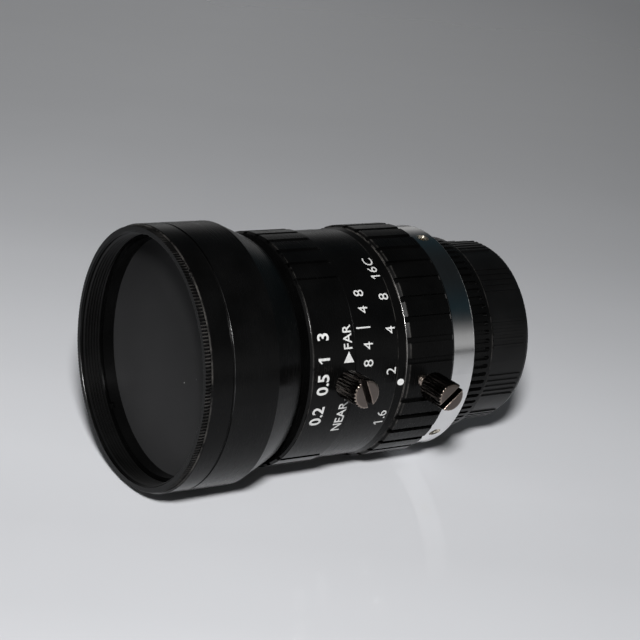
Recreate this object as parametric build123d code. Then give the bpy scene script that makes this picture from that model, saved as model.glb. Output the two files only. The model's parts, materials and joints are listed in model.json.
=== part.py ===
from build123d import *
from math import atan2, cos, degrees, hypot, pi, radians, sin, sqrt
import os

# Machine vision lens with a one inch, 32 threads per inch camera thread
#
# Millimetres. The optical axis is Y: the front faces -Y and the camera end +Y. Z is up.
# The origin is on the optical axis, in the flange seat that meets the camera.
# Angles around the axis start at +Z and grow towards +X.

# Fits
FACE_GAP = 0.05          # axial gap between faces that turn or part
RUNNING = 0.05           # radial gap of a turning or sliding fit
SEAT = 0.02              # radial gap of a screwed or pressed-in piece
CUT = 1.0                # how far a cutter reaches past the surface it cuts
SHALLOW_CUT = 0.2        # the same where little room is left behind that surface
END_SLACK = 0.8          # degrees left at each end of a stopped turn

# Stations along the axis, from the flange seat towards the front
FLANGE = 0.0
KNURL_FRONT = -5.6
SILVER_REAR = -5.65
SILVER_FRONT = -10.2
IRIS_RIBS_FRONT = -18.8
IRIS_FRONT = -20.8
FOCUS_REAR = -29.05
FOCUS_FRONT = -37.2
CONE_REAR = -38.5
CONE_FRONT = -44.1
SEAM = -51.9
RIM = -56.4

# Outer radii
HOOD_R = 20.6
RIM_R = HOOD_R - 0.3
CONE_R = 18.2
FOCUS_R = 18.65
BARREL_R = 18.3
IRIS_R = 18.85
IRIS_BAND_FRONT_R = 18.15
IRIS_BAND_REAR_R = 18.45
IRIS_SLOPE = 0.5         # length of the slope from the band up to the lands
SILVER_R = 18.25
KNURL_R = 16.1
CAP_R = 15.0

# Camera thread
THREAD_R = 12.7
THREAD_LENGTH = 3.8
MOUNT_BORE_R = 11.5

# Grooves around the two rings
GROOVES = 36
GROOVE_STEP = 360 / GROOVES
GROOVE_WIDTH = 0.95
GROOVE_DEPTH = 0.55
SMOOTH_SECTOR = 4        # grooves left out on each side of the focus lock screw

# Lock screws
LOCK_STEM_R = 1.0
LOCK_HEAD_R = 2.3
LOCK_HEAD_LENGTH = 5.3
LOCK_TEETH = 24
LOCK_TOOTH_DEPTH = 0.16
LOCK_SLOT_WIDTH = 0.7
LOCK_SLOT_DEPTH = 0.9
FOCUS_LOCK_ANGLE = 86.3
FOCUS_LOCK_Y = -31.3
FOCUS_LOCK_TOP = 25.1
FOCUS_LOCK_TURN = 24.0
IRIS_LOCK_ANGLE = 90.0
IRIS_LOCK_Y = -16.0
IRIS_LOCK_TOP = 26.25
IRIS_LOCK_TURN = 131.6

# Focus travel
FOCUS_FAR = -70.0        # degrees of the focus ring
FOCUS_NEAR = 110.0
HELIX_LEAD = 5.2         # front group travel for a full turn
TRAVEL_REAR = -FOCUS_FAR / 360 * HELIX_LEAD
TRAVEL_FRONT = FOCUS_NEAR / 360 * HELIX_LEAD

# Iris travel
IRIS_OPEN = 20.0         # degrees of the iris ring
IRIS_CLOSED = -63.5
IRIS_SWEEP = IRIS_OPEN - IRIS_CLOSED

# Front housing and filter
HELIX_R = 15.6
HELIX_BORE = 13.6
HELIX_REAR = -27.5
KEY_END_GAP = 0.3
STEM_GAP = 0.3           # axial room behind the filter's stem
FUNNEL_STEP = 1.1
HOOD_WALL = 0.7          # metal left outside the filter's stem
RIM_WALL = 1.0           # metal left outside the filter thread
FILTER_STEM_R = HOOD_R - HOOD_WALL
FILTER_STEM_REAR = -48.5
FILTER_THREAD_R = RIM_R - RIM_WALL
FILTER_THREAD_END = -52.95
FILTER_RELIEF_R = FILTER_THREAD_R + 0.25
FILTER_POCKET_R = FILTER_THREAD_R - 0.2
FILTER_LEDGE_R = FILTER_POCKET_R - 0.7
FILTER_CLEAR_R = FILTER_POCKET_R - 0.6
FUNNEL_FRONT_R = FILTER_STEM_R - 1.3
GLASS_FRONT = -50.8
GLASS_THICK = 2.0
RING_FRONT = -52.7
SPANNER_NOTCH = 1.0
RIM_WIDTH = 0.9
RIM_TEETH = 240
RIM_TOOTH_DEPTH = 0.14

# Main barrel
JOURNAL_R = 16.95
JOURNAL_FRONT = -33.4
SLEEVE_BORE = 15.75
WEB_FRONT = -25.2
WEB_REAR = -20.0
WEB_FRONT_BORE = 10.6
WEB_REAR_BORE = 8.6
IRIS_JOURNAL_R = 16.6
CHAMBER_R = 14.0
CHAMBER_REAR = -13.2
SPIGOT_R = 15.0

# Key, stop screw and drive pin
KEY_R = 1.0
KEY_ANGLE = 30.0
KEY_TIP = 14.0
STOP_R = 0.5
STOP_Y = -29.85
STOP_ANGLE = FOCUS_LOCK_ANGLE + 180
STOP_TIP = 16.5
STOP_FLOOR = 16.4
STOP_SINK = 0.2
DRIVER_SLOT_WIDTH = 0.25
DRIVER_SLOT_DEPTH = 0.3
DRIVE_R = 0.8
DRIVE_Y = -15.4
DRIVE_ANGLE = 265.0
DRIVE_TIP = 12.4
DRIVE_SINK = 0.3

# Diaphragm
BLADES = 6
BLADE_PIVOT_R = 13.0
BLADE_INNER_R = 6.2
BLADE_OUTER_R = 11.6
BLADE_START = -4.0
BLADE_SPAN = 110.0
BLADE_TURN = 29.5
BLADE_THICK = 0.12
BLADE_PITCH = 0.22
BLADE_FIRST = -18.85
EAR_R = 0.8
EAR_LENGTH = 2.2
PIN_R = 0.4
PIN_END_GAP = 0.2
FOLLOWER_R = 12.8
FOLLOWER_ANGLE = 32.0
PLATE_THICK = 1.0
PLATE_BORE = 6.6
CAM_FRONT = -17.4
CAM_REAR = -14.4
CAM_BORE = 8.4
CAM_RIM_BORE = 11.8
CAM_STEPS = 8
DIAPHRAGM_RING_BORE = 11.0
BLADE_RATIO = -BLADE_TURN / IRIS_SWEEP
BLADE_REST = BLADE_RATIO * (0 - IRIS_OPEN)

# Set screws in the silver ring
SET_SCREW_R = 1.0
SET_SCREW_Y = -7.9
SET_SCREW_ANGLES = (10.0, 130.0, 250.0)
SET_SCREW_SINK = 0.3
SOCKET_R = 0.52
SOCKET_DEPTH = 0.9

# Knurled ring of the mount barrel and the cap
KNURL_TEETH = 72
KNURL_WIDTH = 0.72
KNURL_DEPTH = 0.55
KNURL_STOP = -0.9
CAP_REAR = 8.6
CAP_WALL = 1.4
CAP_THREAD_DEPTH = 4.4
CAP_RECESS_R = 11.9
CAP_ROUND = 0.8
CAP_ROUND_MIDDLE = 0.25
CAP_FRONT_BEVEL = 0.2
CAP_GROUPS = 10
CAP_RIBS = 5
CAP_RIB_STEP = 4.0
CAP_RIB_HEIGHT = 0.22
CAP_RIB_WIDTH = 0.45
CAP_RIB_ROOT = 0.3
CAP_RIB_FRONT_GAP = 0.6
CAP_RIB_REAR_GAP = 1.2

# Lens elements: front vertex, rear vertex, front curve, rear curve, edge radius
# A curve is positive where its centre lies behind the surface
FIRST = (-43.6, -39.4, 38.0, 90.0, 12.5)
SECOND = (-37.6, -33.6, 22.0, 48.0, 11.1)
THIRD = (-31.4, -29.9, -60.0, 20.0, 9.1)
FOURTH = (-9.6, -8.0, -18.0, 45.0, 8.5)
FIFTH = (-8.0, -3.6, 45.0, -24.0, 8.5)
SIXTH = (-3.0, 0.2, 50.0, -50.0, 8.5)

# Lens tubes and the rings and spacers in them
LENS_LIP = 1.2
RING_WALL = 1.0
SPACER_WALL = 0.8
FRONT_FLANGE_R = 14.7
FRONT_FLANGE_FRONT = -44.4
FRONT_FLANGE_REAR = -42.5
FRONT_TUBE_REAR = -26.8
REAR_TUBE_R = 11.4
REAR_TUBE_REAR = 2.4
REAR_FLANGE_R = 13.85
REAR_FLANGE_FRONT = -11.7
REAR_FLANGE_REAR = -10.1
REAR_NOSE_R = 10.5
REAR_RING_REAR = 1.5
REAR_TUBE_FRONT = -12.8


def turned(*points):
    """Turns a section, given as (radius, y) corners, around the optical axis."""
    return revolve(make_face(Polyline(*points, close=True)), Axis.Y)


def ring(inner, outer, front, rear):
    """A plain ring."""
    return turned((inner, front), (outer, front), (outer, rear), (inner, rear))


def sector(inner, outer, front, rear, first, last):
    """The part of a plain ring between two angles."""
    face = make_face(Polyline((inner, front), (outer, front), (outer, rear), (inner, rear), close=True))
    return Rot(0, first - 90, 0) * revolve(face, Axis.Y, last - first)


def around(shape, angle):
    """Turns a shape made at +Z to an angle around the optical axis."""
    return Rot(0, angle, 0) * shape


def radial_pin(radius, low, high, y, angle):
    """A cylinder that points away from the optical axis."""
    pin = Pos(0, y, low) * Cylinder(radius, high - low, align=(Align.CENTER, Align.CENTER, Align.MIN))
    return around(pin, angle)


def groove_cutters(count, first, radius, front, rear):
    """Straight grooves along the axis, cut into an outer surface at even steps."""
    box = Pos(0, (front + rear) / 2, radius) * Box(GROOVE_WIDTH, rear - front, 2 * GROOVE_DEPTH)
    return [around(box, first + GROOVE_STEP * i) for i in range(count)]


def sag(curve, radius):
    """How far behind its vertex a surface lies at a radius."""
    depth = abs(curve) - sqrt(curve**2 - radius**2)
    return depth if curve > 0 else -depth


def front_surface(lens, radius):
    return lens[0] + sag(lens[2], radius)


def rear_surface(lens, radius):
    return lens[1] + sag(lens[3], radius)


def element(lens):
    """A lens element with two spherical faces and a ground edge."""
    front, rear, front_curve, rear_curve, edge = lens
    middle = edge / 2
    front_edge = (edge, front_surface(lens, edge))
    rear_edge = (edge, rear_surface(lens, edge))
    outline = Curve() + [
        ThreePointArc((0, front), (middle, front_surface(lens, middle)), front_edge),
        Line(front_edge, rear_edge),
        ThreePointArc(rear_edge, (middle, rear_surface(lens, middle)), (0, rear)),
        Line((0, rear), (0, front)),
    ]
    return revolve(make_face(outline), Axis.Y)


def toothed_disc(radius, depth, teeth):
    """A flat star outline with fine teeth."""
    step = 2 * pi / teeth
    points = []
    for i in range(teeth):
        points.append((radius * cos(i * step), radius * sin(i * step)))
        points.append(((radius - depth) * cos((i + 0.5) * step), (radius - depth) * sin((i + 0.5) * step)))
    return make_face(Polyline(*points, close=True))


def filter_frame():
    """Screw-in filter frame with a finely knurled rim."""
    bevel = 0.25
    body = turned(
        (FILTER_THREAD_R + bevel, RIM),
        (RIM_R, RIM),
        (RIM_R, RIM + RIM_WIDTH),
        (HOOD_R - bevel, RIM + RIM_WIDTH),
        (HOOD_R, RIM + RIM_WIDTH + bevel),
        (HOOD_R, SEAM - bevel / 2),
        (HOOD_R - bevel / 2, SEAM),
        (FILTER_STEM_R, SEAM),
        (FILTER_STEM_R, FILTER_STEM_REAR),
        (FILTER_LEDGE_R, FILTER_STEM_REAR),
        (FILTER_LEDGE_R, GLASS_FRONT + GLASS_THICK),
        (FILTER_POCKET_R, GLASS_FRONT + GLASS_THICK),
        (FILTER_POCKET_R, RING_FRONT),
        (FILTER_RELIEF_R, RING_FRONT),
        (FILTER_RELIEF_R, FILTER_THREAD_END),
        (FILTER_THREAD_R, FILTER_THREAD_END),
        (FILTER_THREAD_R, RIM + bevel),
    )
    outside = ring(RIM_R - 2 * RIM_TOOTH_DEPTH, HOOD_R + CUT, RIM - CUT, RIM + RIM_WIDTH)
    teeth = Plane.XZ.offset(-RIM - RIM_WIDTH) * toothed_disc(RIM_R, RIM_TOOTH_DEPTH, RIM_TEETH)
    return body - (outside - extrude(teeth, RIM_WIDTH + CUT))


def filter_glass():
    return ring(0, FILTER_POCKET_R - SEAT, GLASS_FRONT, GLASS_FRONT + GLASS_THICK)


def filter_retaining_ring():
    """Thin threaded ring in front of the filter glass, with two spanner notches."""
    body = ring(FILTER_CLEAR_R, FILTER_POCKET_R - SEAT, RING_FRONT, GLASS_FRONT)
    notch = Pos(0, RING_FRONT, (FILTER_CLEAR_R + FILTER_POCKET_R) / 2) * Box(SPANNER_NOTCH, SPANNER_NOTCH, 2 * CUT)
    return body - [around(notch, a) for a in (45, 225)]


def front_housing():
    """Hood, cone and helicoid tube, turned as one piece, with a keyway in the tube."""
    bevel = 0.25
    body = turned(
        (FILTER_STEM_R + SEAT, SEAM + FACE_GAP),
        (HOOD_R - bevel, SEAM + FACE_GAP),
        (HOOD_R, SEAM + FACE_GAP + bevel),
        (HOOD_R, CONE_FRONT),
        (CONE_R, CONE_REAR - bevel),
        (CONE_R - bevel, CONE_REAR),
        (HELIX_R, CONE_REAR),
        (HELIX_R, HELIX_REAR),
        (HELIX_BORE, HELIX_REAR),
        (HELIX_BORE, FRONT_FLANGE_REAR),
        (FRONT_FLANGE_R + SEAT, FRONT_FLANGE_REAR),
        (FRONT_FLANGE_R + SEAT, FRONT_FLANGE_FRONT),
        (FRONT_FLANGE_R + FUNNEL_STEP, FRONT_FLANGE_FRONT),
        (FUNNEL_FRONT_R, FILTER_STEM_REAR + STEM_GAP),
        (FILTER_STEM_R + SEAT, FILTER_STEM_REAR + STEM_GAP),
    )
    key_front = FOCUS_LOCK_Y - KEY_R - TRAVEL_REAR - KEY_END_GAP
    keyway = Pos(0, (key_front + HELIX_REAR + CUT) / 2, (HELIX_BORE + HELIX_R) / 2) * Box(
        2 * (KEY_R + RUNNING), HELIX_REAR + CUT - key_front, HELIX_R - HELIX_BORE + CUT
    )
    return body - around(keyway, KEY_ANGLE)


def front_lens_tube():
    """Stepped tube that holds the three front elements, with a stop lip behind the third."""
    first_seat = rear_surface(FIRST, FIRST[4])
    second_seat = rear_surface(SECOND, SECOND[4])
    third_seat = rear_surface(THIRD, THIRD[4])
    return turned(
        (FIRST[4] + SEAT, FRONT_FLANGE_FRONT),
        (FRONT_FLANGE_R, FRONT_FLANGE_FRONT),
        (FRONT_FLANGE_R, FRONT_FLANGE_REAR),
        (HELIX_BORE - SEAT, FRONT_FLANGE_REAR),
        (HELIX_BORE - SEAT, FRONT_TUBE_REAR),
        (THIRD[4] - LENS_LIP, FRONT_TUBE_REAR),
        (THIRD[4] - LENS_LIP, third_seat),
        (THIRD[4] + SEAT, third_seat),
        (THIRD[4] + SEAT, second_seat),
        (SECOND[4] + SEAT, second_seat),
        (SECOND[4] + SEAT, first_seat),
        (FIRST[4] + SEAT, first_seat),
    )


def front_retaining_ring():
    """Threaded ring that holds the first element."""
    inner = FIRST[4] - RING_WALL
    return ring(inner, FIRST[4], FRONT_FLANGE_FRONT, front_surface(FIRST, inner))


def middle_spacer():
    inner = SECOND[4] - SPACER_WALL
    return ring(inner, SECOND[4], rear_surface(FIRST, SECOND[4]), front_surface(SECOND, inner))


def front_spacer():
    inner = THIRD[4] - SPACER_WALL
    return ring(inner, THIRD[4], rear_surface(SECOND, THIRD[4]), front_surface(THIRD, THIRD[4]))


def rear_lens_tube():
    """Tube that holds the rear group, screwed into the silver ring by its flange."""
    seat = front_surface(FOURTH, FOURTH[4])
    return turned(
        (FOURTH[4] - LENS_LIP, REAR_TUBE_FRONT),
        (REAR_NOSE_R, REAR_TUBE_FRONT),
        (REAR_NOSE_R, REAR_FLANGE_FRONT),
        (REAR_FLANGE_R, REAR_FLANGE_FRONT),
        (REAR_FLANGE_R, REAR_FLANGE_REAR),
        (REAR_TUBE_R, REAR_FLANGE_REAR),
        (REAR_TUBE_R, REAR_TUBE_REAR),
        (FOURTH[4] + SEAT, REAR_TUBE_REAR),
        (FOURTH[4] + SEAT, seat),
        (FOURTH[4] - LENS_LIP, seat),
    )


def rear_spacer():
    inner = FIFTH[4] - SPACER_WALL
    return ring(inner, FIFTH[4], rear_surface(FIFTH, inner), front_surface(SIXTH, inner))


def rear_retaining_ring():
    """Threaded ring behind the sixth element, with two spanner slots."""
    inner = SIXTH[4] - RING_WALL
    body = ring(inner, SIXTH[4], rear_surface(SIXTH, inner), REAR_RING_REAR)
    slot = Pos(0, REAR_RING_REAR, (inner + SIXTH[4]) / 2) * Box(SPANNER_NOTCH, SPANNER_NOTCH, 2 * CUT)
    return body - [around(slot, a) for a in (0, 180)]


def main_barrel():
    """Fixed barrel: focus journal, scale band, iris journal and the diaphragm chamber inside."""
    bevel = 0.2
    body = turned(
        (SLEEVE_BORE, JOURNAL_FRONT),
        (JOURNAL_R, JOURNAL_FRONT),
        (JOURNAL_R, FOCUS_REAR),
        (BARREL_R - bevel, FOCUS_REAR),
        (BARREL_R, FOCUS_REAR + bevel),
        (BARREL_R, IRIS_FRONT),
        (IRIS_JOURNAL_R, IRIS_FRONT),
        (IRIS_JOURNAL_R, SILVER_FRONT),
        (SPIGOT_R, SILVER_FRONT),
        (SPIGOT_R, CHAMBER_REAR),
        (CHAMBER_R, CHAMBER_REAR),
        (CHAMBER_R, WEB_REAR),
        (WEB_REAR_BORE, WEB_REAR),
        (WEB_FRONT_BORE, WEB_FRONT),
        (SLEEVE_BORE, WEB_FRONT),
    )
    stop_margin = degrees(STOP_R / STOP_TIP) + END_SLACK
    stop_groove = sector(
        STOP_FLOOR, JOURNAL_R + CUT, STOP_Y - STOP_R - RUNNING, STOP_Y + STOP_R + RUNNING,
        STOP_ANGLE + FOCUS_FAR - stop_margin, STOP_ANGLE + FOCUS_NEAR + stop_margin,
    )
    drive_margin = degrees(DRIVE_R / CHAMBER_R) + END_SLACK
    drive_window = sector(
        CHAMBER_R - CUT, IRIS_JOURNAL_R + CUT, DRIVE_Y - DRIVE_R - 2 * RUNNING, DRIVE_Y + DRIVE_R + 2 * RUNNING,
        DRIVE_ANGLE + IRIS_CLOSED - drive_margin, DRIVE_ANGLE + IRIS_OPEN + drive_margin,
    )
    key_hole = radial_pin(KEY_R, SLEEVE_BORE - CUT, JOURNAL_R + CUT, FOCUS_LOCK_Y, KEY_ANGLE)
    return body - [stop_groove, drive_window, key_hole]


def guide_key():
    """Pin in the barrel that runs in the keyway and keeps the front housing from turning."""
    return radial_pin(KEY_R, KEY_TIP, JOURNAL_R - RUNNING, FOCUS_LOCK_Y, KEY_ANGLE)


def focus_ring():
    """Grooved focus ring with a smooth sector around its lock screw."""
    bevel = 0.35
    body = turned(
        (HELIX_R + 2 * RUNNING, FOCUS_FRONT),
        (FOCUS_R - bevel, FOCUS_FRONT),
        (FOCUS_R, FOCUS_FRONT + bevel),
        (FOCUS_R, FOCUS_REAR - FACE_GAP - bevel / 2),
        (FOCUS_R - bevel / 2, FOCUS_REAR - FACE_GAP),
        (JOURNAL_R + RUNNING, FOCUS_REAR - FACE_GAP),
        (JOURNAL_R + RUNNING, JOURNAL_FRONT - 3 * FACE_GAP),
        (HELIX_R + 2 * RUNNING, JOURNAL_FRONT - 3 * FACE_GAP),
    )
    count = GROOVES - 2 * SMOOTH_SECTOR - 1
    first = FOCUS_LOCK_ANGLE + (SMOOTH_SECTOR + 1) * GROOVE_STEP
    cuts = groove_cutters(count, first, FOCUS_R, FOCUS_FRONT - CUT, FOCUS_REAR + CUT)
    lock_hole = radial_pin(LOCK_STEM_R + RUNNING, JOURNAL_R - CUT, FOCUS_R + CUT, FOCUS_LOCK_Y, FOCUS_LOCK_ANGLE)
    stop_hole = radial_pin(STOP_R, JOURNAL_R - CUT, FOCUS_R + CUT, STOP_Y, STOP_ANGLE)
    return body - cuts - [lock_hole, stop_hole]


def focus_stop_screw():
    """Screw through the focus ring whose tip runs in the barrel's stop groove."""
    top = FOCUS_R - STOP_SINK
    body = radial_pin(STOP_R, STOP_TIP, top, STOP_Y, STOP_ANGLE)
    slot = Pos(0, STOP_Y, top) * Box(2 * CUT, DRIVER_SLOT_WIDTH, 2 * DRIVER_SLOT_DEPTH)
    return body - around(slot, STOP_ANGLE)


def iris_ring():
    """Grooved iris ring with a plain conical band in front, which carries the index dot."""
    bevel = 0.3
    front = IRIS_FRONT + FACE_GAP
    rear = SILVER_FRONT - FACE_GAP
    body = turned(
        (IRIS_JOURNAL_R + RUNNING, front),
        (IRIS_BAND_FRONT_R, front),
        (IRIS_BAND_REAR_R, IRIS_RIBS_FRONT - IRIS_SLOPE),
        (IRIS_R, IRIS_RIBS_FRONT),
        (IRIS_R, rear - bevel),
        (IRIS_R - bevel, rear),
        (IRIS_JOURNAL_R + RUNNING, rear),
    )
    first = IRIS_LOCK_ANGLE + GROOVE_STEP
    groove_front = IRIS_RIBS_FRONT - IRIS_SLOPE + FACE_GAP
    cuts = groove_cutters(GROOVES - 1, first, IRIS_R, groove_front, rear + CUT)
    lock_hole = radial_pin(LOCK_STEM_R + RUNNING, IRIS_JOURNAL_R - CUT, IRIS_R + CUT, IRIS_LOCK_Y, IRIS_LOCK_ANGLE)
    drive_hole = radial_pin(DRIVE_R, IRIS_JOURNAL_R - CUT, IRIS_R + CUT, DRIVE_Y, DRIVE_ANGLE)
    return body - cuts - [lock_hole, drive_hole]


def iris_drive_pin():
    """Slotted pin that carries the iris ring's turn through the barrel to the cam ring."""
    top = IRIS_R - DRIVE_SINK
    body = radial_pin(DRIVE_R, DRIVE_TIP, top, DRIVE_Y, DRIVE_ANGLE)
    slot = Pos(0, DRIVE_Y, top) * Box(2 * CUT, DRIVER_SLOT_WIDTH, 2 * DRIVER_SLOT_DEPTH)
    return body - around(slot, DRIVE_ANGLE)


def follower_path(turn):
    """Radius and angle of a blade's follower pin, seen from the cam ring, for a blade turn."""
    reach = FOLLOWER_R * sin(radians(FOLLOWER_ANGLE))
    drop = FOLLOWER_R * cos(radians(FOLLOWER_ANGLE)) - BLADE_PIVOT_R
    x = reach * cos(radians(turn)) + drop * sin(radians(turn))
    z = drop * cos(radians(turn)) - reach * sin(radians(turn)) + BLADE_PIVOT_R
    ring_turn = IRIS_OPEN + turn / BLADE_RATIO
    return hypot(x, z), degrees(atan2(x, z)) - ring_turn


def flat_point(radius, angle):
    """A point at a radius and angle, in the flat of a drawing that looks along the axis."""
    return (radius * sin(radians(angle)), radius * cos(radians(angle)))


def lay(sketch, front, thick):
    """Stands a flat drawing across the axis, starting at a station, with a thickness."""
    return Pos(0, front + thick, 0) * Rot(90, 0, 0) * extrude(sketch, thick)


def cam_slot(first):
    """The curved slot that one follower runs in, from wide open to closed."""
    half = PIN_R + RUNNING + SEAT
    small = 0.01
    upper = []
    lower = []
    for i in range(CAM_STEPS + 1):
        turn = BLADE_TURN * i / CAM_STEPS
        point = Vector(*flat_point(*follower_path(turn)))
        ahead = Vector(*flat_point(*follower_path(turn + small))) - point
        across = ahead.normalized().cross(Vector(0, 0, 1)) * half
        upper.append(point + across)
        lower.append(point - across)
        if i == 0:
            start = point - ahead.normalized() * half
        end = point + ahead.normalized() * half
    outline = Curve() + [
        Spline(*upper),
        ThreePointArc(upper[-1], end, lower[-1]),
        Spline(*lower[::-1]),
        ThreePointArc(lower[0], start, upper[0]),
    ]
    return Rot(0, 0, -first) * make_face(outline)


def iris_cam_ring():
    """Cam ring: six curved slots move the blades, and a rim takes the drive pin."""
    plate_rear = CAM_FRONT + PLATE_THICK
    body = turned(
        (CAM_BORE, CAM_FRONT),
        (CHAMBER_R - RUNNING, CAM_FRONT),
        (CHAMBER_R - RUNNING, CAM_REAR),
        (CAM_RIM_BORE, CAM_REAR),
        (CAM_RIM_BORE, plate_rear),
        (CAM_BORE, plate_rear),
    )
    slots = []
    for i in range(BLADES):
        slots.append(lay(cam_slot(360 / BLADES * i), CAM_FRONT - SHALLOW_CUT, PLATE_THICK + 2 * SHALLOW_CUT))
    drive_hole = radial_pin(DRIVE_R, CAM_RIM_BORE - CUT, CHAMBER_R + CUT, DRIVE_Y, DRIVE_ANGLE)
    return body - slots - [drive_hole]


def diaphragm_base_plate():
    """Fixed plate in front of the blades, with a hole for each blade's pivot pin."""
    body = ring(PLATE_BORE, CHAMBER_R - SEAT, WEB_REAR, WEB_REAR + PLATE_THICK)
    pin_hole = Pos(0, BLADE_PIVOT_R) * Circle(PIN_R + RUNNING)
    hole = lay(pin_hole, WEB_REAR - SHALLOW_CUT, PLATE_THICK + 2 * SHALLOW_CUT)
    return body - [around(hole, 360 / BLADES * i) for i in range(BLADES)]


def diaphragm_retaining_ring():
    """Threaded ring behind the cam ring."""
    return ring(DIAPHRAGM_RING_BORE, CHAMBER_R - SEAT, CAM_REAR + 2 * FACE_GAP, CHAMBER_REAR - FACE_GAP)


def iris_blade(index):
    """One crescent blade with a pivot pin in front and a follower pin behind."""
    front = BLADE_FIRST + BLADE_PITCH * index
    middle = (BLADE_START + BLADE_SPAN) / 2
    inner = [flat_point(BLADE_INNER_R, a) for a in (BLADE_START, middle, BLADE_SPAN)]
    outer = [flat_point(BLADE_OUTER_R, a) for a in (BLADE_START, middle, BLADE_SPAN)]
    crescent = make_face(Curve() + [
        ThreePointArc(*inner),
        Line(inner[2], outer[2]),
        ThreePointArc(*outer[::-1]),
        Line(outer[0], inner[0]),
    ])
    pivot = flat_point(BLADE_PIVOT_R, 0)
    follower = flat_point(FOLLOWER_R, FOLLOWER_ANGLE)
    outline = crescent
    for point, angle in ((pivot, 0), (follower, FOLLOWER_ANGLE)):
        inside = flat_point(hypot(*point) - EAR_LENGTH / 2, angle)
        outline += Pos(*inside) * Rot(0, 0, -angle) * Rectangle(2 * EAR_R, EAR_LENGTH)
        outline += Pos(*point) * Circle(EAR_R)
    rear = front + BLADE_THICK
    body = lay(outline, front, BLADE_THICK)
    pivot_front = WEB_REAR + PIN_END_GAP
    follower_rear = CAM_FRONT + PLATE_THICK - PIN_END_GAP
    body += lay(Pos(*pivot) * Circle(PIN_R), pivot_front, front - pivot_front)
    body += lay(Pos(*follower) * Circle(PIN_R), rear, follower_rear - rear)
    rest = Pos(0, 0, BLADE_PIVOT_R) * Rot(0, BLADE_REST, 0) * Pos(0, 0, -BLADE_PIVOT_R) * body
    return around(rest, 360 / BLADES * index)


def lock_screw(tip, top, y, angle, turn):
    """Lock screw with a knurled head, slotted across its flat top."""
    head_low = top - LOCK_HEAD_LENGTH
    stem = Pos(0, 0, tip) * Cylinder(
        LOCK_STEM_R, head_low - tip, align=(Align.CENTER, Align.CENTER, Align.MIN)
    )
    head = Pos(0, 0, head_low) * extrude(
        toothed_disc(LOCK_HEAD_R, LOCK_TOOTH_DEPTH, LOCK_TEETH), LOCK_HEAD_LENGTH
    )
    bevel = 0.25
    trim = revolve(make_face(Polyline(
        (0, head_low), (LOCK_HEAD_R - bevel, head_low), (LOCK_HEAD_R, head_low + bevel),
        (LOCK_HEAD_R, top - bevel), (LOCK_HEAD_R - bevel, top), (0, top), close=True,
    )), Axis.Y)
    head = head & (Rot(90, 0, 0) * trim)
    slot = Pos(0, 0, top) * Box(3 * LOCK_HEAD_R, LOCK_SLOT_WIDTH, 2 * LOCK_SLOT_DEPTH)
    screw = Rot(0, 0, turn) * (stem + head - slot)
    return around(Pos(0, y, 0) * screw, angle)


def silver_ring():
    """Bright ring behind the iris ring. Its sleeve screws into the barrel."""
    bevel = 0.2
    body = turned(
        (REAR_FLANGE_R + SEAT, CHAMBER_REAR + 2 * FACE_GAP),
        (SPIGOT_R - SEAT, CHAMBER_REAR + 2 * FACE_GAP),
        (SPIGOT_R - SEAT, SILVER_FRONT),
        (SILVER_R - bevel, SILVER_FRONT),
        (SILVER_R, SILVER_FRONT + bevel),
        (SILVER_R, SILVER_REAR - bevel),
        (SILVER_R - bevel, SILVER_REAR),
        (SPIGOT_R + SEAT, SILVER_REAR),
        (SPIGOT_R + SEAT, REAR_FLANGE_REAR),
        (REAR_FLANGE_R + SEAT, REAR_FLANGE_REAR),
    )
    return body - [
        radial_pin(SET_SCREW_R, SPIGOT_R - CUT, SILVER_R + CUT, SET_SCREW_Y, a) for a in SET_SCREW_ANGLES
    ]


def set_screws():
    """Three short screws with a hexagon socket, which clamp the silver ring to the mount barrel."""
    top = SILVER_R - SET_SCREW_SINK
    socket = Pos(0, SET_SCREW_Y, top - SOCKET_DEPTH) * extrude(RegularPolygon(SOCKET_R, 6), SOCKET_DEPTH + CUT)
    screw = radial_pin(SET_SCREW_R, SPIGOT_R, top, SET_SCREW_Y, 0) - socket
    return Compound(children=[around(screw, a) for a in SET_SCREW_ANGLES])


def mount_barrel():
    """Grooved ring and camera thread, turned as one piece with the tube inside the silver ring."""
    bevel = 0.3
    body = turned(
        (MOUNT_BORE_R, REAR_FLANGE_REAR + FACE_GAP),
        (SPIGOT_R, REAR_FLANGE_REAR + FACE_GAP),
        (SPIGOT_R, KNURL_FRONT),
        (KNURL_R, KNURL_FRONT),
        (KNURL_R, FLANGE - bevel),
        (KNURL_R - bevel, FLANGE),
        (THREAD_R, FLANGE),
        (THREAD_R, THREAD_LENGTH - bevel),
        (THREAD_R - bevel, THREAD_LENGTH),
        (MOUNT_BORE_R, THREAD_LENGTH),
    )
    length = KNURL_STOP - KNURL_FRONT - KNURL_WIDTH / 2
    box = Pos(0, KNURL_FRONT + (length - CUT) / 2, KNURL_R) * Box(KNURL_WIDTH, length + CUT, 2 * KNURL_DEPTH)
    end = Pos(0, KNURL_FRONT + length, KNURL_R) * Cylinder(KNURL_WIDTH / 2, 2 * KNURL_DEPTH)
    groove = box + end
    return body - [around(groove, 360 / KNURL_TEETH * i) for i in range(KNURL_TEETH)]


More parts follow.
